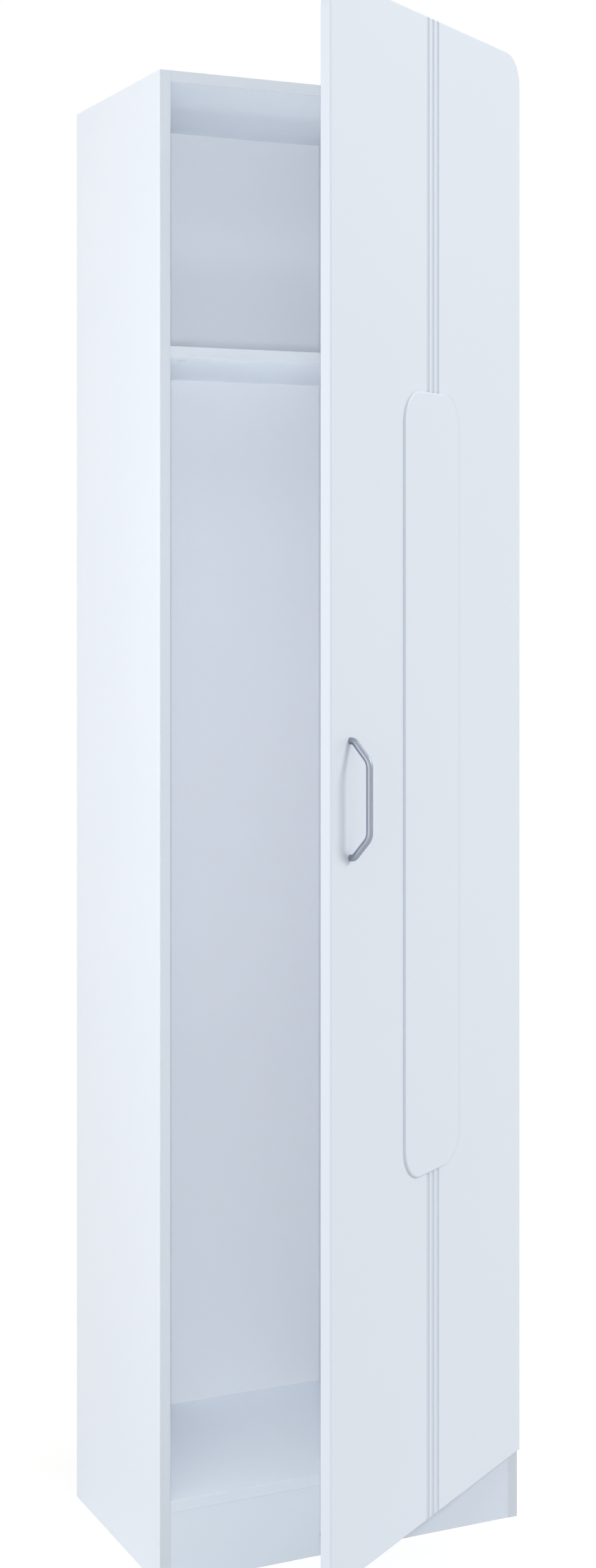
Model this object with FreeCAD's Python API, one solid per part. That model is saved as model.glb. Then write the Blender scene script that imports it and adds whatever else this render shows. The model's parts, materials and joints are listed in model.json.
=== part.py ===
import FreeCAD, Part
import math
import os

# Tall single-door cabinet. Millimetres. X to the right, Y to the back, Z up.
# The origin is the middle of the front plinth's underside, on the floor.

# carcass
CARCASS_WIDTH = 570.0
CARCASS_HEIGHT = 2100.0
SIDE_DEPTH = 344.0
BOARD = 16.0
PLINTH_HEIGHT = 100.0
PLINTH_SETBACK = 1.0
UPPER_CLEAR = 366.0
SHELF_SETBACK = 1.0
EDGE_ROUND = 0.8

# back sheet and its nails
BACK_SHEET = 3.0
BACK_INSET = 2.0
NAIL_RADIUS = 0.8
NAIL_LENGTH = 22.0
NAIL_HEAD_RADIUS = 2.2
NAIL_HEAD_HEIGHT = 0.6
NAIL_END = 60.0
NAIL_PITCH = 220.0
NAIL_ROW_SHARES = (-0.62, 0.0, 0.62)

# cam joints and dowels
CAM_DISTANCE = 34.0
CAM_RADIUS = 7.5
CAM_DEPTH = 12.5
CAM_RECESS = 0.3
CAM_CLEARANCE = 0.1
CAM_CROSS_HALF = 4.5
CAM_CROSS_WIDTH = 1.6
CAM_CROSS_DEPTH = 2.4
BOLT_THREAD_RADIUS = 2.5
BOLT_THREAD_LENGTH = 11.0
BOLT_SHANK_RADIUS = 3.0
BOLT_NECK_RADIUS = 1.8
BOLT_NECK_LENGTH = 5.0
BOLT_HEAD_RADIUS = 3.0
BOLT_HEAD_LENGTH = 4.0
BOLT_HOLE_CLEARANCE = 0.6
DOWEL_RADIUS = 4.0
DOWEL_HALF_LENGTH = 15.0
DOWEL_IN_SIDE = 11.0
DOWEL_END_ROUND = 1.0
DOWEL_HOLE_EXTRA = 1.0
JOINT_EDGE = 45.0
DOWEL_STEP = 40.0
PLINTH_CAM_SHARE = 0.35
PLINTH_DOWEL_SHARE = 0.72

# door
DOOR_THICKNESS = 16.0
DOOR_REVEAL = 5.0
DOOR_GAP = 2.5
DOOR_BOTTOM = 104.0
DOOR_RISE = 67.0
DOOR_CORNER_RADIUS = 43.0
DOOR_FRONT_ROUND = 2.5
DOOR_REAR_ROUND = 1.5
GROOVE_COUNT = 3
GROOVE_PITCH = 14.2
GROOVE_WIDTH = 10.0
GROOVE_DEPTH = 3.0
GROOVE_OVERRUN = 5.0
OPEN_ANGLE = 34.2

# raised pad on the door
PAD_WIDTH = 158.0
PAD_HEIGHT = 1070.0
PAD_THICKNESS = 3.2
PAD_CORNER_RADIUS = 45.0
PAD_ROUND = 2.5
PAD_MIDDLE = 1116.0
PAD_ASIDE = -6.0

# handle
HANDLE_EDGE = 49.0
HANDLE_MIDDLE = 1111.0
HANDLE_SPACING = 151.0
HANDLE_STRAIGHT = 97.0
HANDLE_STAND = 29.0
HANDLE_FOOT = 6.0
HANDLE_RADIUS = 4.5
HANDLE_FOOT_BEND = 8.0
HANDLE_BAR_BEND = 20.0
HANDLE_SCREW_RADIUS = 2.0
HANDLE_SCREW_BITE = 5.0
HANDLE_SCREW_CLEARANCE = 0.2
HANDLE_SCREW_HEAD_RADIUS = 4.0
HANDLE_SCREW_HEAD_HEIGHT = 2.2

# bumpers behind the free edge
BUMPER_RADIUS = 3.5
BUMPER_CLEARANCE = 0.4
BUMPER_ROUND = 0.8
BUMPER_EDGE = 6.0
BUMPER_END = 60.0

# concealed hinge, in distances from the door's hinged edge and from its rear face
HINGE_COUNT = 4
HINGE_END = 110.0
PIN_EDGE = 7.5
PIN_DEPTH = 9.5
PIN_RADIUS = 1.25
PIN_HALF_LENGTH = 9.0
PIN_CLEARANCE = 0.05
CUP_TAB = 3.0
CUP_RADIUS = 17.5
CUP_DEPTH = 13.0
CUP_CLEARANCE = 0.1
CUP_FLOOR = 0.6
FLANGE_THICKNESS = 1.2
FLANGE_START = 5.0
FLANGE_END = 36.0
FLANGE_HALF_HEIGHT = 14.0
EAR_START = 24.0
EAR_HALF_HEIGHT = 29.0
EAR_ROUND = 5.0
CUP_SCREW_EDGE = 30.0
CUP_SCREW_HALF_SPACING = 24.0
CUP_SCREW_RADIUS = 1.6
CUP_SCREW_LENGTH = 10.0
CUP_SCREW_HEAD_RADIUS = 3.3
CUP_SCREW_HEAD_HEIGHT = 1.5
CUP_SCREW_CLEARANCE = 0.3

# hinge arm
EYE_RADIUS = 2.5
EYE_CLEARANCE = 0.4
NECK_HALF_WIDTH = 5.0
NECK_SIDE_CLEARANCE = 0.6
NECK_REACH = 17.0
NECK_BEND = 2.0
ARM_THICKNESS = 2.5
ARM_HALF_WIDTH = 8.5
ARM_START = 6.0
ARM_END = 66.0
ARM_TAPER = 3.4
ARM_EDGE_ROUND = 1.2
CHEEK_THICKNESS = 1.5
CHEEK_START = 12.0
CHEEK_FREE = 2.0
ARM_SCREW_RADIUS = 2.0
ARM_SCREW_HEAD_RADIUS = 3.6
ARM_SCREW_HEAD_HEIGHT = 1.5
ARM_SCREW_BITE = 7.0
ARM_SCREW_CLEARANCE = 0.3
ARM_SCREW_SHARES = (0.22, 0.74)

# hinge mounting plate
PLATE_WING_THICKNESS = 2.5
PLATE_WING_HALF_HEIGHT = 23.0
PLATE_WING_HALF_DEPTH = 8.0
PLATE_WING_ROUND = 6.0
PLATE_LINE = 37.0
PLATE_BLOCK_START = 16.0
PLATE_BLOCK_END = 62.0
PLATE_SIDE_CLEARANCE = 0.4
PLATE_SCREW_HALF_SPACING = 16.0
PLATE_SCREW_RADIUS = 2.5
PLATE_SCREW_LENGTH = 11.0
PLATE_SCREW_HEAD_RADIUS = 3.6
PLATE_SCREW_HEAD_HEIGHT = 1.8
PLATE_SCREW_CLEARANCE = 0.2

TOLERANCE = 1e-4

# derived levels
HALF_WIDTH = CARCASS_WIDTH / 2
INNER_HALF = HALF_WIDTH - BOARD
TOP_UNDER = CARCASS_HEIGHT - BOARD
SHELF_TOP = TOP_UNDER - UPPER_CLEAR
SHELF_UNDER = SHELF_TOP - BOARD
FLOOR_TOP = PLINTH_HEIGHT + BOARD
FRONT = -PLINTH_SETBACK - BOARD / 2
REAR = FRONT + SIDE_DEPTH
BACK_FACE = REAR + BACK_SHEET
DOOR_TOP = CARCASS_HEIGHT + DOOR_RISE
DOOR_HALF = HALF_WIDTH - DOOR_REVEAL
DOOR_REAR = FRONT - DOOR_GAP
DOOR_FRONT = DOOR_REAR - DOOR_THICKNESS
PAD_FRONT = DOOR_FRONT - PAD_THICKNESS
PIVOT_X = DOOR_HALF - PIN_EDGE
PIVOT_Y = DOOR_REAR - PIN_DEPTH
HANDLE_X = -DOOR_HALF + HANDLE_EDGE
ARM_OUTER = PIN_EDGE + NECK_REACH
ARM_INNER = ARM_OUTER - ARM_THICKNESS
POCKET_START = PIN_EDGE - EYE_RADIUS - EYE_CLEARANCE
POCKET_END = ARM_OUTER + EYE_CLEARANCE + EYE_CLEARANCE
POCKET_HALF = NECK_HALF_WIDTH + NECK_SIDE_CLEARANCE
CUP_CENTRE = CUP_TAB + CUP_RADIUS
HINGE_LOW = FLOOR_TOP + HINGE_END
HINGE_STEP = (TOP_UNDER - HINGE_END - HINGE_LOW) / (HINGE_COUNT - 1)
HINGE_LEVELS = [HINGE_LOW + HINGE_STEP * i for i in range(HINGE_COUNT)]

X_AXIS = FreeCAD.Vector(1, 0, 0)
Y_AXIS = FreeCAD.Vector(0, 1, 0)
Z_AXIS = FreeCAD.Vector(0, 0, 1)


def point(x, y, z):
    return FreeCAD.Vector(x, y, z)


def block(x0, x1, y0, y1, z0, z1):
    return Part.makeBox(x1 - x0, y1 - y0, z1 - z0, point(x0, y0, z0))


def rod(radius, start, direction, length):
    return Part.makeCylinder(radius, length, start, direction)


def one_solid(shape):
    return shape.removeSplitter().Solids[0]


def cut_all(shape, tools):
    return one_solid(shape.cut(Part.makeCompound(tools)))


def fuse_all(pieces):
    return one_solid(pieces[0].multiFuse(pieces[1:]))


def edges_in_plane(shape, axis, level):
    found = []
    for edge in shape.Edges:
        box = edge.BoundBox
        low = getattr(box, axis + "Min")
        high = getattr(box, axis + "Max")
        if abs(low - level) < TOLERANCE and abs(high - level) < TOLERANCE:
            found.append(edge)
    return found


def edges_at(shape, **coordinates):
    # edges whose middle lies at the given coordinates
    found = []
    for edge in shape.Edges:
        middle = edge.CenterOfMass
        if all(abs(getattr(middle, name) - value) < TOLERANCE for name, value in coordinates.items()):
            found.append(edge)
    return found


def rounded_outline(half, low, high, y, low_radius, high_radius):
    # closed outline in the XZ plane with rounded lower and upper corners
    corners = [
        (-half, low, low_radius, 1, 1),
        (-half, high, high_radius, 1, -1),
        (half, high, high_radius, -1, -1),
        (half, low, low_radius, -1, 1),
    ]
    stops = []
    for i, (x, z, radius, sx, sz) in enumerate(corners):
        upright = point(x, y, z + sz * radius)
        level = point(x + sx * radius, y, z)
        first, last = (level, upright) if i % 2 == 0 else (upright, level)
        lean = radius * (1 - math.sqrt(0.5))
        middle = point(x + sx * lean, y, z + sz * lean)
        stops.append((first, middle, last, radius))
    parts = []
    for i, (first, middle, last, radius) in enumerate(stops):
        if radius > 0:
            parts.append(Part.Arc(first, middle, last).toShape())
        parts.append(Part.makeLine(last, stops[(i + 1) % len(stops)][0]))
    return Part.Face(Part.Wire(parts))


# joints between the sides and the boards that lie between them

def board_joints():
    # each: point on the side's inner face, way into the board, way to the hidden face, cam or dowel
    joints = []
    for side in (-1, 1):
        inward = X_AXIS * -side
        for level, hidden in (
            (CARCASS_HEIGHT - BOARD / 2, Z_AXIS),
            (SHELF_TOP - BOARD / 2, -Z_AXIS),
            (PLINTH_HEIGHT + BOARD / 2, -Z_AXIS),
        ):
            for y, kind in (
                (FRONT + JOINT_EDGE, "cam"),
                (FRONT + JOINT_EDGE + DOWEL_STEP, "dowel"),
                (REAR - JOINT_EDGE - DOWEL_STEP, "dowel"),
                (REAR - JOINT_EDGE, "cam"),
            ):
                joints.append((point(side * INNER_HALF, y, level), inward, hidden, kind))
        for share, kind in ((PLINTH_CAM_SHARE, "cam"), (PLINTH_DOWEL_SHARE, "dowel")):
            place = point(side * INNER_HALF, 0, PLINTH_HEIGHT * share)
            joints.append((place, inward, Y_AXIS, kind))
    return joints


JOINTS = board_joints()


def cam_bolt(place, inward):
    shank = CAM_DISTANCE - BOLT_NECK_LENGTH
    return fuse_all([
        rod(BOLT_THREAD_RADIUS, place - inward * BOLT_THREAD_LENGTH, inward, BOLT_THREAD_LENGTH),
        rod(BOLT_SHANK_RADIUS, place, inward, shank),
        rod(BOLT_NECK_RADIUS, place + inward * shank, inward, BOLT_NECK_LENGTH),
        rod(BOLT_HEAD_RADIUS, place + inward * CAM_DISTANCE, inward, BOLT_HEAD_LENGTH),
    ])


def bolt_passage(place, inward):
    radius = BOLT_SHANK_RADIUS + BOLT_HOLE_CLEARANCE
    return rod(radius, place, inward, CAM_DISTANCE + BOLT_HEAD_LENGTH + BOLT_HOLE_CLEARANCE)


def cam_bore(place, inward, hidden):
    mouth = place + inward * CAM_DISTANCE + hidden * (BOARD / 2)
    return rod(CAM_RADIUS, mouth, -hidden, CAM_DEPTH)


def cam_lock(place, inward, hidden):
    face = place + inward * CAM_DISTANCE + hidden * (BOARD / 2 - CAM_RECESS)
    height = CAM_DEPTH - CAM_RECESS - CAM_CLEARANCE
    body = rod(CAM_RADIUS - CAM_CLEARANCE, face, -hidden, height)
    turn = FreeCAD.Rotation(Z_AXIS, hidden)
    slots = []
    for half_x, half_y in ((CAM_CROSS_HALF, CAM_CROSS_WIDTH / 2), (CAM_CROSS_WIDTH / 2, CAM_CROSS_HALF)):
        slot = block(-half_x, half_x, -half_y, half_y, -CAM_CROSS_DEPTH, CAM_CROSS_DEPTH)
        slot.Placement = FreeCAD.Placement(face, turn)
        slots.append(slot)
    return cut_all(body, slots + [bolt_passage(place, inward)])


def dowel(place, inward):
    start = place - inward * DOWEL_IN_SIDE
    length = DOWEL_HALF_LENGTH + DOWEL_HALF_LENGTH
    plain = rod(DOWEL_RADIUS, start, inward, length)
    ends = [e for e in plain.Edges if abs(e.BoundBox.XLength) < TOLERANCE]
    return plain.makeChamfer(DOWEL_END_ROUND, ends)


def dowel_hole(place, inward):
    start = place - inward * (DOWEL_IN_SIDE + DOWEL_HOLE_EXTRA)
    length = DOWEL_HALF_LENGTH + DOWEL_HALF_LENGTH + DOWEL_HOLE_EXTRA + DOWEL_HOLE_EXTRA
    return rod(DOWEL_RADIUS, start, inward, length)


def joint_holes():
    holes = []
    for place, inward, hidden, kind in JOINTS:
        if kind == "cam":
            start = place - inward * BOLT_THREAD_LENGTH
            holes.append(rod(BOLT_THREAD_RADIUS, start, inward, BOLT_THREAD_LENGTH))
            holes.append(bolt_passage(place, inward))
            holes.append(cam_bore(place, inward, hidden))
        else:
            holes.append(dowel_hole(place, inward))
    return holes


# nails of the back sheet

def nail_places():
    low = FLOOR_TOP - BACK_INSET
    high = CARCASS_HEIGHT - BACK_INSET
    rows = math.ceil((high - low - NAIL_END - NAIL_END) / NAIL_PITCH)
    step = (high - low - NAIL_END - NAIL_END) / rows
    places = []
    for side in (-1, 1):
        for i in range(rows + 1):
            places.append((side * (HALF_WIDTH - BOARD / 2), low + NAIL_END + step * i))
    for level in (CARCASS_HEIGHT - BOARD / 2, SHELF_TOP - BOARD / 2, PLINTH_HEIGHT + BOARD / 2):
        for share in NAIL_ROW_SHARES:
            places.append((INNER_HALF * share, level))
    return places


NAILS = nail_places()


def nail(x, z):
    # driven until its head is flush with the sheet
    face = point(x, BACK_FACE, z)
    shank = rod(NAIL_RADIUS, face, -Y_AXIS, NAIL_LENGTH)
    head = rod(NAIL_HEAD_RADIUS, face, -Y_AXIS, NAIL_HEAD_HEIGHT)
    return fuse_all([shank, head])


NAIL_SHAPES = [nail(x, z) for x, z in NAILS]
CARCASS_HOLES = joint_holes() + NAIL_SHAPES


# boards of the carcass

def near(tool, box):
    return tool.BoundBox.intersect(box)


def drilled(board, tools):
    box = board.BoundBox
    hits = [tool for tool in tools if near(tool, box)]
    return cut_all(board, hits) if hits else board


def eased(board):
    # front edges carry a thin edging with a small rounding
    return board.makeFillet(EDGE_ROUND, edges_in_plane(board, "Y", FRONT))


def side_panel(side):
    x0 = -HALF_WIDTH if side < 0 else INNER_HALF
    board = eased(block(x0, x0 + BOARD, FRONT, REAR, 0, CARCASS_HEIGHT))
    holes = list(CARCASS_HOLES)
    if side > 0:
        for level in HINGE_LEVELS:
            holes.extend(plate_screw_holes(level))
    return drilled(board, holes)


def level_board(low, setback):
    y0 = FRONT + setback
    board = block(-INNER_HALF, INNER_HALF, y0, REAR, low, low + BOARD)
    long_edges = [e for e in edges_in_plane(board, "Y", y0) if e.BoundBox.XLength > BOARD]
    return drilled(board.makeFillet(EDGE_ROUND, long_edges), CARCASS_HOLES)


def plinth_board():
    board = block(-INNER_HALF, INNER_HALF, -BOARD / 2, BOARD / 2, 0, PLINTH_HEIGHT)
    return drilled(board, CARCASS_HOLES)


def back_sheet():
    half = HALF_WIDTH - BACK_INSET
    high = CARCASS_HEIGHT - BACK_INSET
    sheet = block(-half, half, REAR, BACK_FACE, PLINTH_HEIGHT + BACK_INSET, high)
    return drilled(sheet, NAIL_SHAPES)


# hinges: u runs inwards from the door's hinged edge, v from the door's rear face into the door

def hinge_block(u0, u1, v0, v1, low, high):
    return block(DOOR_HALF - u1, DOOR_HALF - u0, DOOR_REAR - v1, DOOR_REAR - v0, low, high)


def hinge_point(u, v, z):
    return point(DOOR_HALF - u, DOOR_REAR - v, z)


def hinge_pin(level):
    length = PIN_HALF_LENGTH + PIN_HALF_LENGTH
    return rod(PIN_RADIUS, hinge_point(PIN_EDGE, PIN_DEPTH, level - PIN_HALF_LENGTH), Z_AXIS, length)


def cup_pocket(level):
    depth = CUP_DEPTH - CUP_FLOOR
    low = level - POCKET_HALF
    return hinge_block(POCKET_START, POCKET_END, -FLANGE_THICKNESS, depth, low, level + POCKET_HALF)


def cup_screw_axes(level):
    offsets = (-CUP_SCREW_HALF_SPACING, CUP_SCREW_HALF_SPACING)
    return [hinge_point(CUP_SCREW_EDGE, -FLANGE_THICKNESS, level + offset) for offset in offsets]


def cup_screw(place):
    length = FLANGE_THICKNESS + CUP_SCREW_LENGTH
    shank = rod(CUP_SCREW_RADIUS, place, -Y_AXIS, length)
    head = rod(CUP_SCREW_HEAD_RADIUS, place, Y_AXIS, CUP_SCREW_HEAD_HEIGHT)
    return fuse_all([shank, head])


def hinge_cup(level):
    mouth = hinge_point(CUP_CENTRE, 0, level)
    pot = rod(CUP_RADIUS - CUP_CLEARANCE, mouth, -Y_AXIS, CUP_DEPTH - CUP_CLEARANCE)
    seat = hinge_block(
        FLANGE_START, FLANGE_END, -FLANGE_THICKNESS, 0,
        level - FLANGE_HALF_HEIGHT, level + FLANGE_HALF_HEIGHT,
    )
    ears = hinge_block(
        EAR_START, FLANGE_END, -FLANGE_THICKNESS, 0,
        level - EAR_HALF_HEIGHT, level + EAR_HALF_HEIGHT,
    )
    flange = fuse_all([seat, ears])
    upright = [e for e in flange.Edges if e.BoundBox.XLength + e.BoundBox.ZLength < TOLERANCE]
    ends = [e for e in upright if abs(abs(e.CenterOfMass.z - level) - EAR_HALF_HEIGHT) < TOLERANCE]
    flange = flange.makeFillet(EAR_ROUND, ends)
    holes = [cup_pocket(level), hinge_pin(level)]
    for place in cup_screw_axes(level):
        radius = CUP_SCREW_RADIUS + CUP_SCREW_CLEARANCE
        holes.append(rod(radius, place, -Y_AXIS, FLANGE_THICKNESS))
    return cut_all(fuse_all([pot, flange]), holes)


def cup_bores(level):
    bores = [rod(CUP_RADIUS, hinge_point(CUP_CENTRE, 0, level), -Y_AXIS, CUP_DEPTH)]
    for place in cup_screw_axes(level):
        bores.append(rod(CUP_SCREW_RADIUS, place, -Y_AXIS, FLANGE_THICKNESS + CUP_SCREW_LENGTH))
    return bores


def arm_screw_axes(level):
    places = []
    for share in ARM_SCREW_SHARES:
        y = FRONT + PLATE_BLOCK_START + (PLATE_BLOCK_END - PLATE_BLOCK_START) * share
        places.append(point(DOOR_HALF - ARM_OUTER, y, level))
    return places


def arm_screw(place):
    head = rod(ARM_SCREW_HEAD_RADIUS, place, -X_AXIS, ARM_SCREW_HEAD_HEIGHT)
    shank = rod(ARM_SCREW_RADIUS, place, X_AXIS, ARM_THICKNESS + ARM_SCREW_BITE)
    return fuse_all([head, shank])


def arm_neck(level):
    # flat strip that runs from the pin into the cup, bends and leaves through the cup's mouth
    low = level - NECK_HALF_WIDTH
    high = level + NECK_HALF_WIDTH
    deep = PIN_DEPTH + ARM_THICKNESS
    eye = rod(EYE_RADIUS, hinge_point(PIN_EDGE, PIN_DEPTH, low), Z_AXIS, high - low)
    floor = hinge_block(PIN_EDGE, ARM_OUTER, PIN_DEPTH, deep, low, high)
    upright = hinge_block(ARM_INNER, ARM_OUTER, -DOOR_GAP - CHEEK_START, deep, low, high)
    bend = fuse_all([floor, upright])
    bend = bend.makeFillet(NECK_BEND, edges_at(bend, x=DOOR_HALF - ARM_OUTER, y=DOOR_REAR - deep))
    return fuse_all([eye, bend])


def arm_channel(level):
    # pressed channel over the mounting plate, tapered towards the neck
    x0 = DOOR_HALF - ARM_OUTER
    low = level - ARM_HALF_WIDTH
    high = level + ARM_HALF_WIDTH
    web = block(x0, x0 + ARM_THICKNESS, FRONT + ARM_START, FRONT + ARM_END, low, high)
    front_corners = edges_at(web, y=FRONT + ARM_START, z=low) + edges_at(web, y=FRONT + ARM_START, z=high)
    web = web.makeChamfer(ARM_TAPER, front_corners)
    x1 = INNER_HALF - PLATE_WING_THICKNESS - CHEEK_FREE
    channel = fuse_all([web] + [
        block(x0, x1, FRONT + CHEEK_START, FRONT + ARM_END, z, z + CHEEK_THICKNESS)
        for z in (low, high - CHEEK_THICKNESS)
    ])
    long_edges = edges_at(channel, x=x0, z=low) + edges_at(channel, x=x0, z=high)
    return channel.makeFillet(ARM_EDGE_ROUND, long_edges)


def hinge_arm(level):
    low = level - NECK_HALF_WIDTH
    pin_length = NECK_HALF_WIDTH + NECK_HALF_WIDTH
    radius = ARM_SCREW_RADIUS + ARM_SCREW_CLEARANCE
    places = arm_screw_axes(level)
    holes = [rod(PIN_RADIUS + PIN_CLEARANCE, hinge_point(PIN_EDGE, PIN_DEPTH, low), Z_AXIS, pin_length)]
    holes.extend(rod(radius, place, X_AXIS, ARM_THICKNESS) for place in places)
    # the rear screw sits in a slot that is open to the arm's end
    slot = places[-1]
    holes.append(block(
        slot.x, slot.x + ARM_THICKNESS, slot.y, FRONT + ARM_END, slot.z - radius, slot.z + radius
    ))
    return cut_all(fuse_all([arm_neck(level), arm_channel(level)]), holes)


def plate_screw_axes(level):
    x = INNER_HALF - PLATE_WING_THICKNESS
    offsets = (-PLATE_SCREW_HALF_SPACING, PLATE_SCREW_HALF_SPACING)
    return [point(x, FRONT + PLATE_LINE, level + offset) for offset in offsets]


def plate_screw_holes(level):
    length = PLATE_WING_THICKNESS + PLATE_SCREW_LENGTH
    return [rod(PLATE_SCREW_RADIUS, place, X_AXIS, length) for place in plate_screw_axes(level)]


def plate_screw(place):
    head = rod(PLATE_SCREW_HEAD_RADIUS, place, -X_AXIS, PLATE_SCREW_HEAD_HEIGHT)
    shank = rod(PLATE_SCREW_RADIUS, place, X_AXIS, PLATE_WING_THICKNESS + PLATE_SCREW_LENGTH)
    return fuse_all([head, shank])


def hinge_plate(level):
    x_block = DOOR_HALF - ARM_INNER
    half = ARM_HALF_WIDTH - CHEEK_THICKNESS - PLATE_SIDE_CLEARANCE
    centre = block(
        x_block, INNER_HALF, FRONT + PLATE_BLOCK_START, FRONT + PLATE_BLOCK_END,
        level - half, level + half,
    )
    wing = block(
        INNER_HALF - PLATE_WING_THICKNESS, INNER_HALF,
        FRONT + PLATE_LINE - PLATE_WING_HALF_DEPTH, FRONT + PLATE_LINE + PLATE_WING_HALF_DEPTH,
        level - PLATE_WING_HALF_HEIGHT, level + PLATE_WING_HALF_HEIGHT,
    )
    ends = [e for e in wing.Edges if e.BoundBox.YLength + e.BoundBox.ZLength < TOLERANCE]
    wing = wing.makeFillet(PLATE_WING_ROUND, ends)
    holes = []
    for place in plate_screw_axes(level):
        radius = PLATE_SCREW_RADIUS + PLATE_SCREW_CLEARANCE
        holes.append(rod(radius, place, X_AXIS, PLATE_WING_THICKNESS))
    for place in arm_screw_axes(level):
        holes.append(rod(ARM_SCREW_RADIUS, place, X_AXIS, ARM_THICKNESS + ARM_SCREW_BITE))
    return cut_all(fuse_all([centre, wing]), holes)


# door, built closed and then turned about the hinge pins

def opened(shape):
    turned = shape.copy()
    turned.rotate(point(PIVOT_X, PIVOT_Y, 0), Z_AXIS, OPEN_ANGLE)
    return turned


def handle_axes():
    half = HANDLE_SPACING / 2
    return [point(HANDLE_X, DOOR_REAR, HANDLE_MIDDLE + offset) for offset in (-half, half)]


def grooves():
    half = GROOVE_WIDTH / 2
    radius = (half * half + GROOVE_DEPTH * GROOVE_DEPTH) / (GROOVE_DEPTH + GROOVE_DEPTH)
    y = DOOR_FRONT - radius + GROOVE_DEPTH
    low = DOOR_BOTTOM - GROOVE_OVERRUN
    length = DOOR_TOP + GROOVE_OVERRUN - low
    first = -GROOVE_PITCH * (GROOVE_COUNT - 1) / 2
    starts = [point(first + GROOVE_PITCH * i, y, low) for i in range(GROOVE_COUNT)]
    return [rod(radius, start, Z_AXIS, length) for start in starts]


def door_panel():
    outline = rounded_outline(DOOR_HALF, DOOR_BOTTOM, DOOR_TOP, DOOR_REAR, 0, DOOR_CORNER_RADIUS)
    panel = outline.extrude(-Y_AXIS * DOOR_THICKNESS)
    panel = panel.makeFillet(DOOR_FRONT_ROUND, edges_in_plane(panel, "Y", DOOR_FRONT))
    panel = panel.makeFillet(DOOR_REAR_ROUND, edges_in_plane(panel, "Y", DOOR_REAR))
    tools = grooves()
    for level in HINGE_LEVELS:
        tools.extend(cup_bores(level))
    for place in handle_axes():
        tools.append(rod(HANDLE_SCREW_RADIUS + HANDLE_SCREW_CLEARANCE, place, -Y_AXIS, DOOR_THICKNESS))
    return cut_all(panel, tools)


def door_pad():
    low = PAD_MIDDLE - PAD_HEIGHT / 2
    high = PAD_MIDDLE + PAD_HEIGHT / 2
    outline = rounded_outline(PAD_WIDTH / 2, low, high, DOOR_FRONT, PAD_CORNER_RADIUS, PAD_CORNER_RADIUS)
    pad = outline.extrude(-Y_AXIS * PAD_THICKNESS)
    pad.translate(point(PAD_ASIDE, 0, 0))
    return pad.makeFillet(PAD_ROUND, edges_in_plane(pad, "Y", PAD_FRONT))


def bent_path(corners, radii):
    # straight runs between the corners, joined by arcs of the given radii
    pieces = []
    start = corners[0]
    for i in range(1, len(corners) - 1):
        corner = corners[i]
        back = corners[i - 1] - corner
        on = corners[i + 1] - corner
        back.normalize()
        on.normalize()
        half_angle = back.getAngle(on) / 2
        reach = radii[i - 1] / math.tan(half_angle)
        first = corner + back * reach
        last = corner + on * reach
        bisector = back + on
        bisector.normalize()
        centre = corner + bisector * (radii[i - 1] / math.sin(half_angle))
        middle = centre - bisector * radii[i - 1]
        pieces.append(Part.makeLine(start, first))
        pieces.append(Part.Arc(first, middle, last).toShape())
        start = last
    pieces.append(Part.makeLine(start, corners[-1]))
    return Part.Wire(pieces)


def handle_bow():
    half = HANDLE_SPACING / 2
    straight = HANDLE_STRAIGHT / 2
    run = [(0, -half), (HANDLE_FOOT, -half), (HANDLE_STAND, -straight)]
    run = run + [(out, -z) for out, z in reversed(run)]
    corners = [point(HANDLE_X, DOOR_FRONT - out, HANDLE_MIDDLE + z) for out, z in run]
    radii = [HANDLE_FOOT_BEND, HANDLE_BAR_BEND, HANDLE_BAR_BEND, HANDLE_FOOT_BEND]
    ring = Part.Wire(Part.makeCircle(HANDLE_RADIUS, corners[0], Y_AXIS))
    bow = Part.Solid(bent_path(corners, radii).makePipeShell([ring], True, False))
    holes = []
    for place in handle_axes():
        holes.append(rod(HANDLE_SCREW_RADIUS, place, -Y_AXIS, DOOR_THICKNESS + HANDLE_SCREW_BITE))
    return cut_all(bow, holes)


def handle_screw(place):
    shank = rod(HANDLE_SCREW_RADIUS, place, -Y_AXIS, DOOR_THICKNESS + HANDLE_SCREW_BITE)
    head = rod(HANDLE_SCREW_HEAD_RADIUS, place, Y_AXIS, HANDLE_SCREW_HEAD_HEIGHT)
    return fuse_all([shank, head])


def bumper(level):
    height = DOOR_GAP - BUMPER_CLEARANCE
    plain = rod(BUMPER_RADIUS, point(-DOOR_HALF + BUMPER_EDGE, DOOR_REAR, level), Y_AXIS, height)
    return plain.makeFillet(BUMPER_ROUND, edges_in_plane(plain, "Y", DOOR_REAR + height))


def group(shapes):
    return Part.makeCompound(shapes)


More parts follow.
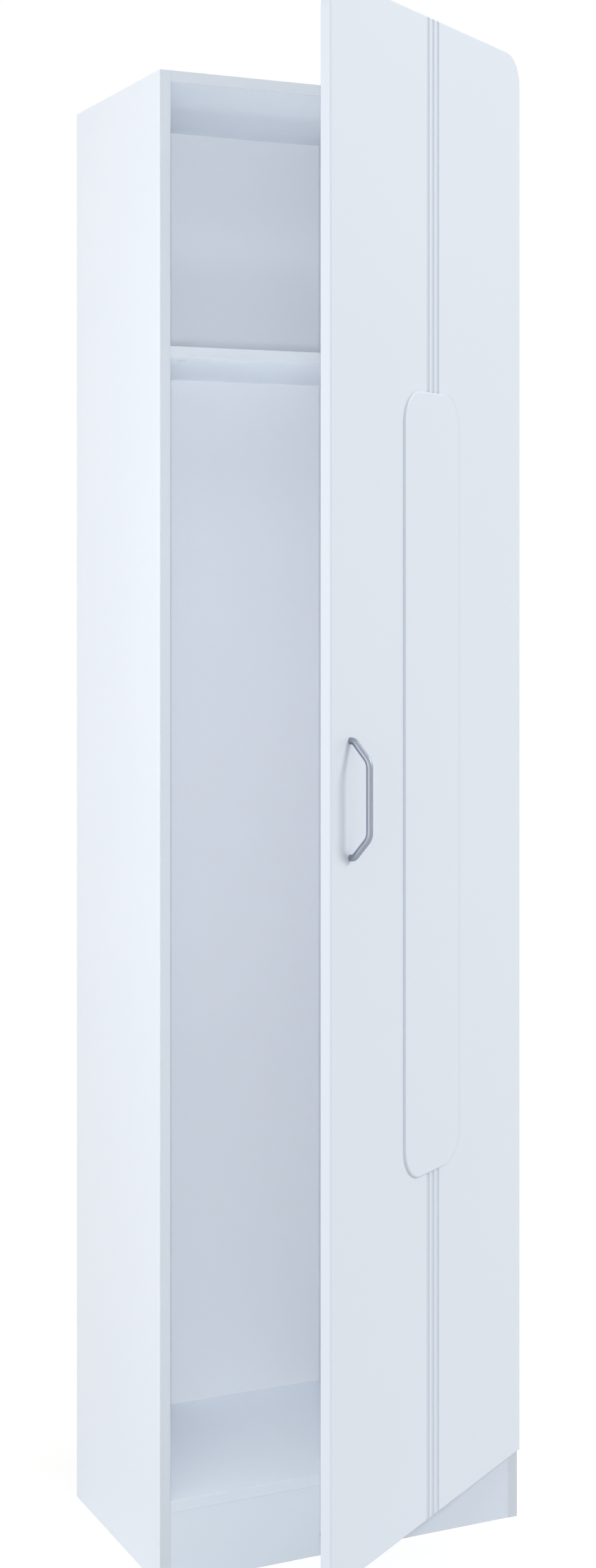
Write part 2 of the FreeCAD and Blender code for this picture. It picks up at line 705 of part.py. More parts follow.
NODES = {
    "side_panel_left": side_panel(-1),
    "side_panel_right": side_panel(1),
    "top_panel": level_board(TOP_UNDER, 0),
    "bottom_panel": level_board(PLINTH_HEIGHT, 0),
    "hat_shelf": level_board(SHELF_UNDER, SHELF_SETBACK),
    "front_plinth": plinth_board(),
    "back_sheet": back_sheet(),
    "back_nails": group(NAIL_SHAPES),
    "cam_bolts": group([cam_bolt(p, i) for p, i, h, kind in JOINTS if kind == "cam"]),
    "cam_locks": group([cam_lock(p, i, h) for p, i, h, kind in JOINTS if kind == "cam"]),
    "dowels": group([dowel(p, i) for p, i, h, kind in JOINTS if kind == "dowel"]),
    "door_panel": opened(door_panel()),
    "door_pad": opened(door_pad()),
    "handle_bow": opened(handle_bow()),
    "handle_screws": group([opened(handle_screw(p)) for p in handle_axes()]),
    "door_bumpers": group([opened(bumper(z)) for z in (FLOOR_TOP + BUMPER_END, TOP_UNDER - BUMPER_END)]),
    "hinge_pins": group([opened(hinge_pin(level)) for level in HINGE_LEVELS]),
    "cup_screws": group([opened(cup_screw(p)) for level in HINGE_LEVELS for p in cup_screw_axes(level)]),
    "plate_screws": group([plate_screw(p) for level in HINGE_LEVELS for p in plate_screw_axes(level)]),
    "arm_screws": group([arm_screw(p) for level in HINGE_LEVELS for p in arm_screw_axes(level)]),
}
for number, level in enumerate(HINGE_LEVELS, 1):
    NODES["hinge_cup_%d" % number] = opened(hinge_cup(level))
    NODES["hinge_arm_%d" % number] = hinge_arm(level)
    NODES["hinge_plate_%d" % number] = hinge_plate(level)

os.makedirs("parts", exist_ok=True)
for name, shape in NODES.items():
    shape.exportStep("parts/%s.step" % name)
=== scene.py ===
import json
import math

import bmesh
import bpy
from mathutils import Matrix, Vector

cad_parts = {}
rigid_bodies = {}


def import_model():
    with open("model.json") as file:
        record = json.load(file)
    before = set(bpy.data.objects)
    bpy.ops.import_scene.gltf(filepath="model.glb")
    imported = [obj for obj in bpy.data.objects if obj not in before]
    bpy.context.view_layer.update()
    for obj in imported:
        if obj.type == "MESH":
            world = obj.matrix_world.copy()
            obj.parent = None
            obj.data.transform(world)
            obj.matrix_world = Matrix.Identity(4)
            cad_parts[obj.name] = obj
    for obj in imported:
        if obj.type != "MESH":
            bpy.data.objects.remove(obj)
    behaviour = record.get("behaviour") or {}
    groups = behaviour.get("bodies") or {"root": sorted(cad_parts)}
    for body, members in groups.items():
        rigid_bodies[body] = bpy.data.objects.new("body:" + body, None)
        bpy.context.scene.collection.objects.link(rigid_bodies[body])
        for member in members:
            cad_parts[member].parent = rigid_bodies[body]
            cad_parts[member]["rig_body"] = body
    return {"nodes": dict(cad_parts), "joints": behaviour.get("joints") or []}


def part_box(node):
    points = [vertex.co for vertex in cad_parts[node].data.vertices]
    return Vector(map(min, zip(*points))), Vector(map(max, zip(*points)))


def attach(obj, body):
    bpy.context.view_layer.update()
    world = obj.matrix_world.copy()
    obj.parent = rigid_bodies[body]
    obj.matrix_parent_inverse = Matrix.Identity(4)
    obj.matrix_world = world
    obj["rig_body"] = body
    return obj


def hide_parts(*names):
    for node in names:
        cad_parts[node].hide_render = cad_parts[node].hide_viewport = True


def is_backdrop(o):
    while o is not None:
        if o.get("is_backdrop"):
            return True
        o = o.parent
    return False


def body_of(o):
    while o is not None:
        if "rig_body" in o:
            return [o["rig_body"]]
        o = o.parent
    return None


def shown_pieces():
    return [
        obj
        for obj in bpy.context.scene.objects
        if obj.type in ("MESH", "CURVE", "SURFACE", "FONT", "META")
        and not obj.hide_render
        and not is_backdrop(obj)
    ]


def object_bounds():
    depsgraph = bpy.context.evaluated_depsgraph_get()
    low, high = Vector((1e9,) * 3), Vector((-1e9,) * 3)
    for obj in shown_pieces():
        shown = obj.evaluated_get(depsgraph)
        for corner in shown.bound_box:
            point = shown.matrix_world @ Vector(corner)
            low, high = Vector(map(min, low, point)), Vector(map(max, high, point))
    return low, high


for leftover in list(bpy.data.objects):
    bpy.data.objects.remove(leftover)
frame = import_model()
CAD_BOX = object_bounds()

# Tall single-door cabinet. Metres. X to the right, Y to the back, Z up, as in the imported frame.
MM = 0.001

# photograph in pixels, and camera, its sensor in millimetres
PHOTO_HEIGHT = 2560
HORIZON_ROW = 936.6
FOCAL_PIXELS = 3726.7
SENSOR = 36.0
CAMERA_PLACE = (-1.4435, -2.9514, 1.4022)
CAMERA_YAW = math.radians(24.95)

# stage
FLOOR_HALF = 30.0
FLOOR_DIFFUSE = 0.8
FLOOR_SEEN_DIFFUSE = 0.35
FLOOR_SEEN_GLOW = 0.80
WHITE = 1.0

# colours, linear
LAMINATE = (0.845, 0.896, 0.958)
LAMINATE_SHADE = (0.834, 0.885, 0.949)
# edging tone, darkened well below the board as painted shade on front-facing edges
EDGING_WITH_PAINTED_SHADE = (0.474, 0.512, 0.556)
# plinth's front face, darkened as painted shade, less deep than the edging
PLINTH_PAINTED_SHADE = (0.596, 0.653, 0.720)
SEAM = (0.48, 0.51, 0.545)
DOOR_FILM = (0.798, 0.864, 0.943)
DOOR_FILM_SHADE = (0.790, 0.855, 0.936)
# painted shade around the foot of the door's raised pad
FILM_PAINTED_SHADE = (0.755, 0.818, 0.893)
SHEET_WHITE = (0.661, 0.690, 0.743)
SHEET_WHITE_SHADE = (0.651, 0.680, 0.734)
SHEET_BROWN = (0.235, 0.135, 0.070)
SHEET_BROWN_LIGHT = (0.335, 0.205, 0.115)
CHIP_DARK = (0.26, 0.16, 0.085)
CHIP_LIGHT = (0.62, 0.46, 0.29)
HANDLE_METAL = (0.365, 0.400, 0.465)
HANDLE_METAL_SHADE = (0.305, 0.335, 0.392)
NICKEL = (0.66, 0.645, 0.61)
NICKEL_SHADE = (0.56, 0.548, 0.52)
ZINC = (0.60, 0.62, 0.65)
ZINC_SHADE = (0.48, 0.505, 0.545)
CAST_ZINC = (0.72, 0.73, 0.745)
CAST_ZINC_SHADE = (0.60, 0.61, 0.625)
BEECH = (0.56, 0.37, 0.21)
BEECH_SHADE = (0.44, 0.27, 0.14)
RUBBER = (0.86, 0.88, 0.88)
RUBBER_SHADE = (0.78, 0.81, 0.82)


def reach_of(node_name, way):
    """How far a node reaches along a direction: lowest and highest place."""
    places = [corner.co.dot(way) for corner in frame["nodes"][node_name].data.vertices]
    return min(places), max(places)


# places read from the frame
CARCASS_LOW, CARCASS_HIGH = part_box("side_panel_left")
CARCASS_FRONT = CARCASS_LOW.y
CARCASS_REAR = CARCASS_HIGH.y
LEFT_EDGE_MIDDLE = (CARCASS_LOW.x + CARCASS_HIGH.x) / 2
RIGHT_EDGE_MIDDLE = -LEFT_EDGE_MIDDLE
SHEET_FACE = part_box("back_sheet")[1].y
BOTTOM_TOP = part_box("bottom_panel")[1].z
PLINTH_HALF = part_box("bottom_panel")[1].x
OPEN_ANGLE = math.radians(-frame["joints"][0]["range_deg"][0])
DOOR_FACING = Vector((math.sin(OPEN_ANGLE), -math.cos(OPEN_ANGLE), 0.0))
DOOR_ALONG = Vector((math.cos(OPEN_ANGLE), math.sin(OPEN_ANGLE), 0.0))
INTO_SIDE = Vector((1.0, 0.0, 0.0))
UPWARD = Vector((0.0, 0.0, 1.0))
DOOR_FACE = reach_of("door_panel", DOOR_FACING)[1]
PAD_LEFT, PAD_RIGHT = reach_of("door_pad", DOOR_ALONG)
PAD_FOOT, PAD_HEAD = reach_of("door_pad", UPWARD)

# light: place, size and power in watts, and aim and spread in degrees where a lamp has its own
AMBIENT_STRENGTH = 0.585
USUAL_AIM = (0.0, 0.0, 1.1)
USUAL_SPREAD = 180.0
KEY = {"place": (11.9, -4.9, 8.7), "size": (5.0, 2.0)}
BESIDE_CAMERA = (-1.46, -2.99)
STRIP_WIDTH = 0.03
BOUNCE_HEIGHT = 0.04
BOUNCE_SIZE = (0.2, 0.2)
OPEN_LAMPS = {
    "key_right": {**KEY, "power": 380.0},
    "softbox_left": {"place": (-6.0, 1.2, 2.0), "size": (2.4, 3.6), "power": 58.0},
}

# lamps that are flagged off from everything but one body or one piece, by what they reach
FLAGGED_LAMPS = {
    "door": {
        "key_right_door": {**KEY, "power": 505.0},
        "strip_edge": {"place": (-5.75, -2.6, 1.6), "size": (1.2, 3.0), "power": 84.0},
        "rake_left": {"place": (-4.5, -5.5, 1.3), "size": (0.7, 2.5), "power": 30.0},
    },
    "carcass": {
        "fill_middle": {"place": (*BESIDE_CAMERA, 1.42), "size": (STRIP_WIDTH, 0.3), "power": 58.0},
        "fill_low": {"place": (*BESIDE_CAMERA, 0.25), "size": (STRIP_WIDTH, 0.4), "power": 9.5},
        "fill_high": {
            "place": (-1.78, -3.64, 3.6),
            "size": (1.0, 1.0),
            "power": 13.0,
            "aim": (0.0, 0.2, 1.75),
        },
        "softbox_top": {"place": (-0.6, -1.4, 12.0), "size": (3.0, 3.0), "power": 281.0},
        "floor_bounce": {
            "place": (-0.75, -1.3, BOUNCE_HEIGHT),
            "size": BOUNCE_SIZE,
            "power": 0.40,
            "aim": (-0.02, 0.15, 1.72),
            "spread": 55.0,
        },
        "floor_bounce_near": {
            "place": (-0.5, -0.75, BOUNCE_HEIGHT),
            "size": BOUNCE_SIZE,
            "power": 0.080,
            "aim": (-0.03, 0.06, 2.08),
            "spread": 24.0,
        },
        "floor_bounce_far": {
            "place": (-0.7, -1.2, BOUNCE_HEIGHT),
            "size": (0.5, 0.5),
            "power": 0.115,
            "aim": (-0.03, 0.16, 2.08),
            "spread": 24.0,
        },
    },
    "side_panel_left": {
        "glow_edge_left": {
            "place": (-0.26, -1.0, 0.3),
            "size": (STRIP_WIDTH, 0.3),
            "power": 1.5,
            "aim": (LEFT_EDGE_MIDDLE, 0.0, 0.3),
        },
    },
    "side_panel_right": {
        "glow_edge_right": {
            "place": (RIGHT_EDGE_MIDDLE, -1.0, 0.06),
            "size": (STRIP_WIDTH, 0.06),
            "power": 1.2,
            "aim": (RIGHT_EDGE_MIDDLE, 0.0, 0.05),
        },
    },
    "hat_shelf": {
        "floor_bounce_shelf": {
            "place": (-0.6, -1.2, BOUNCE_HEIGHT),
            "size": BOUNCE_SIZE,
            "power": 0.46,
            "aim": (-0.02, 0.2, 1.72),
            "spread": 40.0,
        },
    },
    "top_panel": {
        "shelf_bounce": {
            "place": (0.0, 0.17, 1.722),
            "size": (0.24, 0.24),
            "power": 0.13,
            "aim": (0.0, 0.2, 2.08),
        },
    },
}

# surface detail and painted shade; a face looks forward where its normal's Y is below the limit
FORWARD_LIMIT = -0.5
FRONT_ZONE = 2.0 * MM
EDGING_THICKNESS = 0.6 * MM
SEAM_HALF = 0.08 * MM
SKIN = 0.2 * MM
# painted shade around the door's pad: corner radius, extra reach on the hinge side, fade
PAD_SHADE_CORNER = 45.0 * MM
PAD_SHADE_HINGE_SIDE = 8.0 * MM
PAD_SHADE_FADE = 5.0 * MM
PLATING_SPREAD = 0.07

# screws: shank and head radius, head rise and thread pitch in millimetres, set where their plain solids are
SCREW_SETS = {
    "cup_screws": {
        "body": "door", "way": DOOR_FACING, "shank": 1.6, "head": 3.3, "rise": 1.5, "pitch": 1.3,
    },
    "handle_screws": {
        "body": "door", "way": DOOR_FACING, "shank": 2.0, "head": 4.0, "rise": 2.2, "pitch": 0.7,
    },
    "plate_screws": {
        "body": "carcass", "way": INTO_SIDE, "shank": 2.5, "head": 3.6, "rise": 1.8, "pitch": 1.8,
    },
    "arm_screws": {
        "body": "carcass", "way": INTO_SIDE, "shank": 2.0, "head": 3.6, "rise": 1.5, "pitch": 0.7,
    },
}
WELD_DISTANCE = 0.001 * MM
SCREW_SIDES = 32
RINGS_PER_TURN = 8
THREAD_DEPTH_SHARE = 0.2
TIP_LENGTH_SHARE = 2.0
TIP_RADIUS_SHARE = 0.25
HEAD_RINGS = 14
HEAD_RIM_SHARE = 0.5
RECESS_REACH_SHARE = 0.62
RECESS_WIDTH_SHARE = 0.15
RECESS_DEPTH_SHARE = 0.7
SHARP_ANGLE = math.radians(40.0)


class Look:
    """One material being wired: its node tree, its shader and the nodes that are often needed."""

    def __init__(self, name):
        self.material = bpy.data.materials.new(name)
        self.material.use_nodes = True
        self.tree = self.material.node_tree
        self.shader = self.tree.nodes["Principled BSDF"]
        source = self.node("ShaderNodeTexCoord")
        self.place = source.outputs["Object"]
        self.facing = source.outputs["Normal"]

    def node(self, kind, **settings):
        made = self.tree.nodes.new(kind)
        for name, value in settings.items():
            setattr(made, name, value)
        return made

    def wire(self, source, target):
        self.tree.links.new(source, target)

    def fixed(self, **values):
        """Numbers that are the same all over, set on the shader's own sockets."""
        for name, value in values.items():
            self.shader.inputs[name.replace("_", " ")].default_value = value

    def stretched(self, scale):
        mapping = self.node("ShaderNodeMapping")
        mapping.inputs["Scale"].default_value = scale
        self.wire(self.place, mapping.inputs["Vector"])
        return mapping.outputs["Vector"]

    def noise(self, scale, detail=2.0, stretch=(1.0, 1.0, 1.0)):
        texture = self.node("ShaderNodeTexNoise")
        texture.inputs["Scale"].default_value = scale
        texture.inputs["Detail"].default_value = detail
        self.wire(self.stretched(stretch), texture.inputs["Vector"])
        return texture.outputs["Fac"]

    def chips(self, scale):
        texture = self.node("ShaderNodeTexVoronoi")
        texture.inputs["Scale"].default_value = scale
        self.wire(self.place, texture.inputs["Vector"])
        return texture.outputs["Color"]

    def coordinate(self, axis, vector=None):
        split = self.node("ShaderNodeSeparateXYZ")
        self.wire(vector or self.place, split.inputs[0])
        return split.outputs[axis]

    def math(self, operation, first, second=0.0):
        made = self.node("ShaderNodeMath", operation=operation)
        for socket, value in zip(made.inputs, (first, second)):
            if isinstance(value, (int, float)):
                socket.default_value = value
            else:
                self.wire(value, socket)
        return made.outputs[0]

    def along(self, way):
        """How far a point lies along a direction."""
        product = self.node("ShaderNodeVectorMath", operation="DOT_PRODUCT")
        self.wire(self.place, product.inputs[0])
        product.inputs[1].default_value = way
        return product.outputs["Value"]

    def beyond(self, way, low, high, corner):
        """Distance past a span along one direction, the span being shortened by the corner radius."""
        offset = self.math("ABSOLUTE", self.math("SUBTRACT", self.along(way), (low + high) / 2))
        return self.math("MAXIMUM", self.math("SUBTRACT", offset, (high - low) / 2 - corner), 0.0)

    def line(self, coordinate, level, half_width):
        """1 within a half width of a level, 0 elsewhere."""
        offset = self.math("ABSOLUTE", self.math("SUBTRACT", coordinate, level))
        return self.math("LESS_THAN", offset, half_width)

    def remapped(self, value, low, high, start=0.0, end=1.0):
        """A value that runs from start to end, made to run from low to high."""
        mapped = self.node("ShaderNodeMapRange")
        mapped.inputs["From Min"].default_value = start
        mapped.inputs["From Max"].default_value = end
        mapped.inputs["To Min"].default_value = low
        mapped.inputs["To Max"].default_value = high
        self.wire(value, mapped.inputs["Value"])
        return mapped.outputs["Result"]

    def tones(self, value, first, second, start=0.3, end=0.7):
        ramp = self.node("ShaderNodeValToRGB")
        for element, place, colour in zip(ramp.color_ramp.elements, (start, end), (first, second)):
            element.position = place
            element.color = (*colour, 1.0)
        self.wire(value, ramp.inputs["Fac"])
        return ramp.outputs["Color"]

    def mixed(self, share, first, second):
        mix = self.node("ShaderNodeMix", data_type="RGBA")
        self.wire(share, mix.inputs["Factor"])
        for name, colour in (("A", first), ("B", second)):
            socket = [s for s in mix.inputs if s.name == name and s.type == "RGBA"][0]
            if isinstance(colour, tuple):
                socket.default_value = (*colour, 1.0)
            else:
                self.wire(colour, socket)
        return [s for s in mix.outputs if s.type == "RGBA"][0]

    def colour(self, source):
        self.wire(source, self.shader.inputs["Base Color"])

    def roughness(self, source, low, high):
        self.wire(self.remapped(source, low, high), self.shader.inputs["Roughness"])

    def bump(self, height, strength, distance):
        bump = self.node("ShaderNodeBump")
        bump.inputs["Strength"].default_value = strength
        bump.inputs["Distance"].default_value = distance
        self.wire(height, bump.inputs["Height"])
        self.wire(bump.outputs["Normal"], self.shader.inputs["Normal"])


# materials

def chipboard_tone(look):
    flakes = look.tones(look.chips(scale=420.0), CHIP_DARK, CHIP_LIGHT, start=0.1, end=0.9)
    dust = look.tones(look.noise(scale=1500.0, detail=3.0), CHIP_DARK, CHIP_LIGHT)
    return look.mixed(look.noise(scale=240.0), flakes, dust)


def raw_board(look):
    """1 on bare chipboard, which is the rear edges and what stands on the floor, 0 elsewhere."""
    rear = look.math("GREATER_THAN", look.coordinate("Y"), CARCASS_REAR - SKIN)
    foot = look.math("LESS_THAN", look.coordinate("Z"), SKIN)
    return look.math("MAXIMUM", rear, foot)


def edged_and_shaded(look, face):
    """A board's face with painted shade on its front-facing edging, a lighter painted shade on the plinth's
    face, and the edging's hairline joint.
    """
    depth = look.coordinate("Y")
    forward = look.math("LESS_THAN", look.coordinate("Y", look.facing), FORWARD_LIMIT)
    shaded_front_edges = look.math("MULTIPLY", forward, look.math("LESS_THAN", depth, CARCASS_FRONT + FRONT_ZONE))
    between_sides = look.math("LESS_THAN", look.math("ABSOLUTE", look.coordinate("X")), PLINTH_HALF)
    plinth = look.math("MULTIPLY", between_sides, look.math("LESS_THAN", look.coordinate("Z"), BOTTOM_TOP))
    joint = look.line(depth, CARCASS_FRONT + EDGING_THICKNESS, SEAM_HALF)
    # painted shade: front-facing edges take the darkened edging tone
    face = look.mixed(shaded_front_edges, face, EDGING_WITH_PAINTED_SHADE)
    # painted shade on the plinth's front face
    face = look.mixed(look.math("MULTIPLY", shaded_front_edges, plinth), face, PLINTH_PAINTED_SHADE)
    return look.mixed(joint, face, SEAM)


def white_laminate():
    # melamine-faced board with a fine pearl texture
    look = Look("melamine_board")
    face = look.tones(look.noise(scale=3.5, detail=3.0), LAMINATE_SHADE, LAMINATE)
    look.colour(look.mixed(raw_board(look), edged_and_shaded(look, face), chipboard_tone(look)))
    look.roughness(look.noise(scale=60.0, detail=4.0), low=0.42, high=0.54)
    look.bump(look.noise(scale=1400.0), strength=0.08, distance=0.2 * MM)
    return look.material


def white_hardboard():
    # lacquered white towards the inside, bare brown fibre towards the wall
    look = Look("hardboard_sheet")
    white = look.tones(look.noise(scale=4.0, detail=3.0), SHEET_WHITE_SHADE, SHEET_WHITE)
    strands = look.noise(scale=500.0, detail=6.0, stretch=(1.0, 1.0, 0.35))
    fibre = look.tones(strands, SHEET_BROWN, SHEET_BROWN_LIGHT)
    bare = look.math("GREATER_THAN", look.coordinate("Y"), SHEET_FACE - SKIN)
    look.colour(look.mixed(bare, white, fibre))
    look.roughness(look.noise(scale=90.0, detail=4.0), low=0.50, high=0.66)
    look.bump(look.noise(scale=900.0, detail=4.0), strength=0.10, distance=0.2 * MM)
    return look.material


def pad_painted_shade(look):
    """Share of the painted shade on the door's face around the foot of the pad, reaching further on the
    hinge side.
    """
    across = look.beyond(DOOR_ALONG, PAD_LEFT, PAD_RIGHT + PAD_SHADE_HINGE_SIDE, PAD_SHADE_CORNER)
    up = look.beyond(UPWARD, PAD_FOOT, PAD_HEAD, PAD_SHADE_CORNER)
    squares = look.math("ADD", look.math("MULTIPLY", across, across), look.math("MULTIPLY", up, up))
    radius = look.math("SQRT", squares)
    fade = look.remapped(radius, low=1.0, high=0.0, start=PAD_SHADE_CORNER, end=PAD_SHADE_CORNER + PAD_SHADE_FADE)
    on_face = look.line(look.along(DOOR_FACING), DOOR_FACE, SKIN)
    return look.math("MULTIPLY", fade, on_face)


def white_door_film():
    # film pressed over the milled board: satin, with the faint orange peel of the press
    look = Look("pressed_film")
    film = look.tones(look.noise(scale=2.5, detail=3.0), DOOR_FILM_SHADE, DOOR_FILM)
    # painted shade around the foot of the pad
    look.colour(look.mixed(pad_painted_shade(look), film, FILM_PAINTED_SHADE))
    look.roughness(look.noise(scale=45.0, detail=3.0), low=0.34, high=0.44)
    look.bump(look.noise(scale=700.0), strength=0.05, distance=0.15 * MM)
    return look.material


def satin_metal():
    # die-cast bow with a fine lengthwise satin brush
    look = Look("satin_handle")
    streaks = look.noise(scale=2600.0, detail=3.0, stretch=(1.0, 1.0, 0.03))
    look.colour(look.tones(streaks, HANDLE_METAL_SHADE, HANDLE_METAL))
    look.roughness(streaks, low=0.44, high=0.56)
    look.bump(streaks, strength=0.06, distance=0.05 * MM)
    look.fixed(Metallic=1.0)
    return look.material


def plated_steel(name, bright, shade, rough, cloud_scale):
    look = Look(name)
    clouds = look.noise(scale=cloud_scale, detail=5.0)
    look.colour(look.tones(clouds, shade, bright))
    drawn = look.noise(scale=2200.0, detail=3.0, stretch=(1.0, 1.0, 0.1))
    look.roughness(drawn, low=rough - PLATING_SPREAD, high=rough + PLATING_SPREAD)
    look.bump(look.noise(scale=3000.0), strength=0.05, distance=0.05 * MM)
    look.fixed(Metallic=1.0)
    return look.material


def cast_zinc():
    look = Look("cast_zinc_alloy")
    grain = look.noise(scale=2400.0, detail=4.0)
    look.colour(look.tones(grain, CAST_ZINC_SHADE, CAST_ZINC))
    look.roughness(grain, low=0.42, high=0.60)
    look.bump(grain, strength=0.18, distance=0.1 * MM)
    look.fixed(Metallic=1.0)
    return look.material


def beech():
    # the grain runs along the dowel
    look = Look("beech_dowel")
    grain = look.noise(scale=900.0, detail=5.0, stretch=(0.06, 1.0, 1.0))
    look.colour(look.tones(grain, BEECH_SHADE, BEECH))
    look.roughness(grain, low=0.55, high=0.72)
    look.bump(grain, strength=0.25, distance=0.2 * MM)
    return look.material


def clear_rubber():
    look = Look("soft_bumper")
    haze = look.noise(scale=700.0, detail=3.0)
    look.colour(look.tones(haze, RUBBER_SHADE, RUBBER))
    look.roughness(haze, low=0.18, high=0.30)
    look.fixed(Transmission_Weight=0.55, IOR=1.49)
    return look.material


def make_looks():
    return {
        "white_laminate": white_laminate(),
        "white_hardboard": white_hardboard(),
        "white_door_film": white_door_film(),
        "satin_metal": satin_metal(),
        "nickel_plated_steel": plated_steel(
            "nickel_plate", NICKEL, NICKEL_SHADE, rough=0.22, cloud_scale=120.0,
        ),
        "zinc_plated_steel": plated_steel(
            "zinc_plate", ZINC, ZINC_SHADE, rough=0.34, cloud_scale=160.0,
        ),
        "cast_zinc": cast_zinc(),
        "beech": beech(),
        "clear_rubber": clear_rubber(),
    }


def dress_nodes(looks):
    for node in frame["nodes"].values():
        for slot in node.material_slots:
            slot.material = looks[slot.material.name]


# screws

def separate_solids(node):
    """The corner points of each solid in a node, one list per solid."""
    shape = bmesh.new()
    shape.from_mesh(node.data)
    bmesh.ops.remove_doubles(shape, verts=shape.verts, dist=WELD_DISTANCE)
    waiting = set(shape.verts)
    solids = []
    while waiting:
        reached = [waiting.pop()]
        for corner in reached:
            near = {edge.other_vert(corner) for edge in corner.link_edges} & waiting
            reached.extend(near)
            waiting -= near
        solids.append([corner.co.copy() for corner in reached])
    shape.free()
    return solids


def skin(shape, rings):
    """Faces between neighbouring closed rings of corners."""
    for lower, upper in zip(rings, rings[1:]):
        for i in range(SCREW_SIDES):
            j = (i + 1) % SCREW_SIDES
            shape.faces.new((lower[i], lower[j], upper[j], upper[i]))


def ring_of(shape, placed, radius_and_depth):
    """One closed ring: radius and depth at each turn angle, set in place."""
    corners = []
    for i in range(SCREW_SIDES):
        turn = math.tau * i / SCREW_SIDES
        radius, depth = radius_and_depth(turn)
        corner = Vector((radius * math.cos(turn), radius * math.sin(turn), depth))
        corners.append(shape.verts.new(placed @ corner))
    return corners


def thread_ring(radius, pitch, depth, taper):
    """Helical thread: the crest moves along as the ring turns."""
    def at(turn):
        phase = (depth / pitch - turn / math.tau) % 1.0
        crest = 1.0 - abs(2.0 * phase - 1.0)
        return radius * taper * (1.0 - THREAD_DEPTH_SHARE * (1.0 - crest)), depth
    return at


def head_ring(radius, rise, share):
    """Domed head with a cross recess; share runs from the middle to the rim."""
    def at(turn):
        dome = rise * math.sqrt(1.0 - (1.0 - HEAD_RIM_SHARE ** 2) * share ** 2)
        across = min(abs(math.sin(turn)), abs(math.cos(turn))) * share
        inside = across < RECESS_WIDTH_SHARE and share < RECESS_REACH_SHARE
        sunk = rise * RECESS_DEPTH_SHARE * math.sqrt(1.0 - share / RECESS_REACH_SHARE) if inside else 0.0
        return radius * share, sunk - dome
    return at


def add_screw(shape, corners, way, shank, head, rise, pitch):
    """One screw in the space of a plain solid: threaded shank, flat seat and recessed head."""
    along = [corner.dot(way) for corner in corners]
    middle = sum(corners, Vector()) / len(corners)
    seat = middle + way * (min(along) + rise - middle.dot(way))
    placed = Matrix.Translation(seat) @ way.to_track_quat("Z", "Y").to_matrix().to_4x4()
    length = max(along) - min(along) - rise
    count = round(length / pitch * RINGS_PER_TURN)
    rings = [ring_of(shape, placed, head_ring(head, rise, (i + 1) / HEAD_RINGS)) for i in range(HEAD_RINGS)]
    shape.faces.new(reversed(rings[0]))
    rings.append(ring_of(shape, placed, lambda turn: (head, 0.0)))
    for i in range(count + 1):
        depth = length * i / count
        taper = min(1.0, (length - depth) / (TIP_LENGTH_SHARE * shank) + TIP_RADIUS_SHARE)
        rings.append(ring_of(shape, placed, thread_ring(shank, pitch, depth, taper)))
    shape.faces.new(rings[-1])
    skin(shape, rings)


def make_screws(node_name, body, way, shank, head, rise, pitch):
    node = frame["nodes"][node_name]
    shape = bmesh.new()
    for corners in separate_solids(node):
        add_screw(shape, corners, way, shank * MM, head * MM, rise * MM, pitch * MM)
    bmesh.ops.recalc_face_normals(shape, faces=shape.faces)
    mesh = bpy.data.meshes.new(node_name + "_driven")
    shape.to_mesh(mesh)
    shape.free()
    mesh.shade_smooth()
    mesh.set_sharp_from_angle(angle=SHARP_ANGLE)
    mesh.materials.append(node.material_slots[0].material)
    screws = bpy.data.objects.new(node_name + "_driven", mesh)
    bpy.context.scene.collection.objects.link(screws)
    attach(screws, body)
    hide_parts(node_name)


# stage, light and camera

def grey(level):
    return (level, level, level, 1.0)


def seen_directly(tree):
    """1 for what the camera, a mirror or a glass shows, 0 for light on its way to the object."""
    path = tree.nodes.new("ShaderNodeLightPath")
    value = path.outputs["Is Camera Ray"]
    for name in ("Is Glossy Ray", "Is Transmission Ray"):
        joined = tree.nodes.new("ShaderNodeMath")
        joined.operation = "MAXIMUM"
        tree.links.new(value, joined.inputs[0])
        tree.links.new(path.outputs[name], joined.inputs[1])
        value = joined.outputs[0]
    return value


def choose_shader(tree, lighting, shown, output_name):
    """One shader for light on its way to the object, another for what is seen directly."""
    choice = tree.nodes.new("ShaderNodeMixShader")
    tree.links.new(seen_directly(tree), choice.inputs[0])
    tree.links.new(lighting.outputs[0], choice.inputs[1])
    tree.links.new(shown.outputs[0], choice.inputs[2])
    tree.links.new(choice.outputs[0], tree.nodes[output_name].inputs["Surface"])


def floor_look():
    material = bpy.data.materials.new("pale_floor")
    material.use_nodes = True
    tree = material.node_tree
    tree.nodes.remove(tree.nodes["Principled BSDF"])
    lit = tree.nodes.new("ShaderNodeBsdfDiffuse")
    lit.inputs["Color"].default_value = grey(FLOOR_DIFFUSE)
    seen = tree.nodes.new("ShaderNodeBsdfDiffuse")
    seen.inputs["Color"].default_value = grey(FLOOR_SEEN_DIFFUSE)
    glow = tree.nodes.new("ShaderNodeEmission")
    glow.inputs["Strength"].default_value = FLOOR_SEEN_GLOW
    pale = tree.nodes.new("ShaderNodeAddShader")
    tree.links.new(seen.outputs[0], pale.inputs[0])
    tree.links.new(glow.outputs[0], pale.inputs[1])
    choose_shader(tree, lit, pale, "Material Output")
    return material


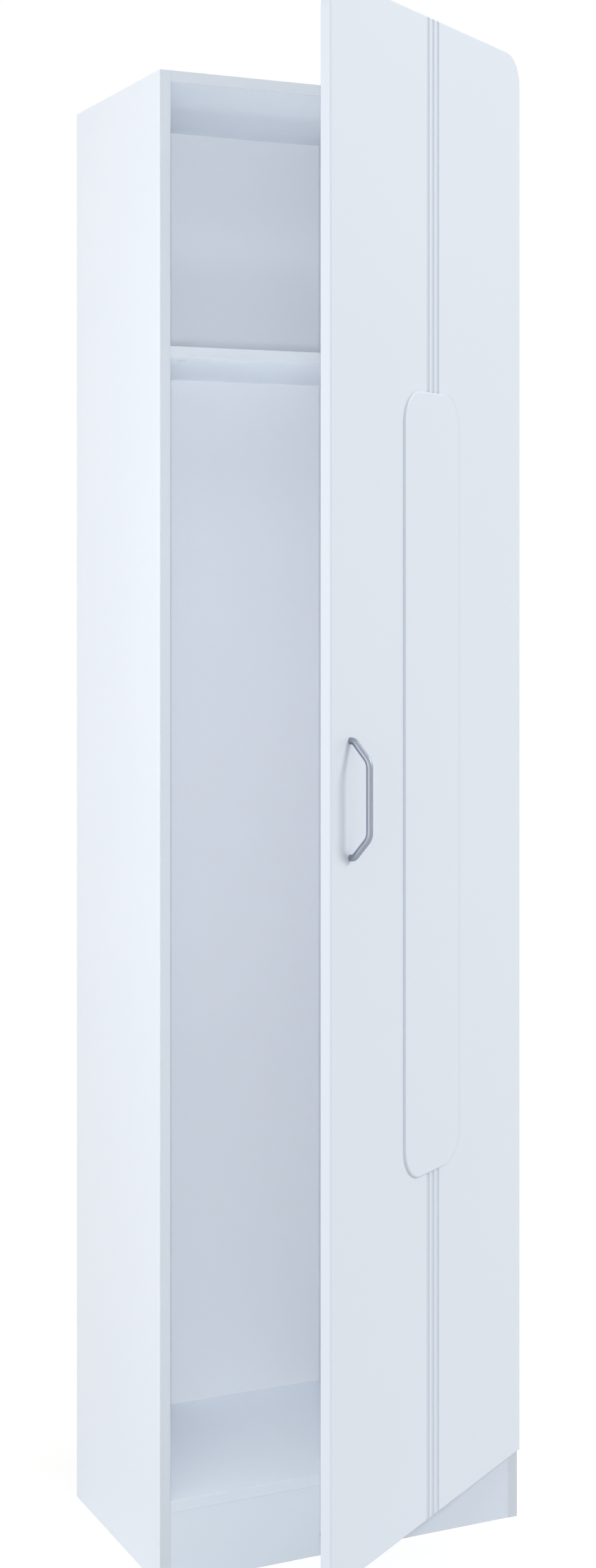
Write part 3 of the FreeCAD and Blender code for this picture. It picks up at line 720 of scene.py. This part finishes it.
def make_floor():
    mesh = bpy.data.meshes.new("floor")
    shape = bmesh.new()
    bmesh.ops.create_grid(shape, x_segments=1, y_segments=1, size=FLOOR_HALF)
    shape.to_mesh(mesh)
    shape.free()
    mesh.materials.append(floor_look())
    floor = bpy.data.objects.new("floor", mesh)
    floor.location.z = CAD_BOX[0].z
    bpy.context.scene.collection.objects.link(floor)
    floor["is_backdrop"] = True


def make_world():
    world = bpy.data.worlds.new("studio")
    world.use_nodes = True
    tree = world.node_tree
    ambient = tree.nodes["Background"]
    ambient.inputs["Color"].default_value = grey(WHITE)
    ambient.inputs["Strength"].default_value = AMBIENT_STRENGTH
    backdrop = tree.nodes.new("ShaderNodeBackground")
    backdrop.inputs["Color"].default_value = grey(WHITE)
    choose_shader(tree, ambient, backdrop, "World Output")
    bpy.context.scene.world = world


def pieces_of(name):
    """What a flagged lamp reaches: the pieces of one body, or the one piece of that name."""
    group = bpy.data.collections.new(name + "_pieces")
    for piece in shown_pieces():
        if name in [piece.name, *body_of(piece)]:
            group.objects.link(piece)
    return group


def make_lamp(name, place, size, power, aim=USUAL_AIM, spread=USUAL_SPREAD):
    lamp = bpy.data.lights.new(name, "AREA")
    lamp.shape = "RECTANGLE"
    lamp.size, lamp.size_y = size
    lamp.energy = power
    lamp.spread = math.radians(spread)
    holder = bpy.data.objects.new(name, lamp)
    holder.location = place
    holder.rotation_euler = (Vector(aim) - holder.location).to_track_quat("-Z", "Y").to_euler()
    bpy.context.scene.collection.objects.link(holder)
    return holder


def make_lamps():
    for name, lamp in OPEN_LAMPS.items():
        make_lamp(name, **lamp)
    for reached, lamps in FLAGGED_LAMPS.items():
        receivers = pieces_of(reached)
        for name, lamp in lamps.items():
            holder = make_lamp(name, **lamp)
            holder.light_linking.receiver_collection = receivers


def make_camera():
    data = bpy.data.cameras.new("camera")
    data.sensor_width = SENSOR
    data.lens = SENSOR * FOCAL_PIXELS / PHOTO_HEIGHT
    data.shift_y = (HORIZON_ROW - PHOTO_HEIGHT / 2) / PHOTO_HEIGHT
    camera = bpy.data.objects.new("camera", data)
    camera.location = CAMERA_PLACE
    camera.rotation_euler = (math.pi / 2, 0.0, -CAMERA_YAW)
    bpy.context.scene.collection.objects.link(camera)
    bpy.context.scene.camera = camera


dress_nodes(make_looks())
for set_name, screw in SCREW_SETS.items():
    make_screws(set_name, **screw)
make_floor()
make_world()
make_lamps()
make_camera()
bpy.context.scene.view_settings.view_transform = "Standard"
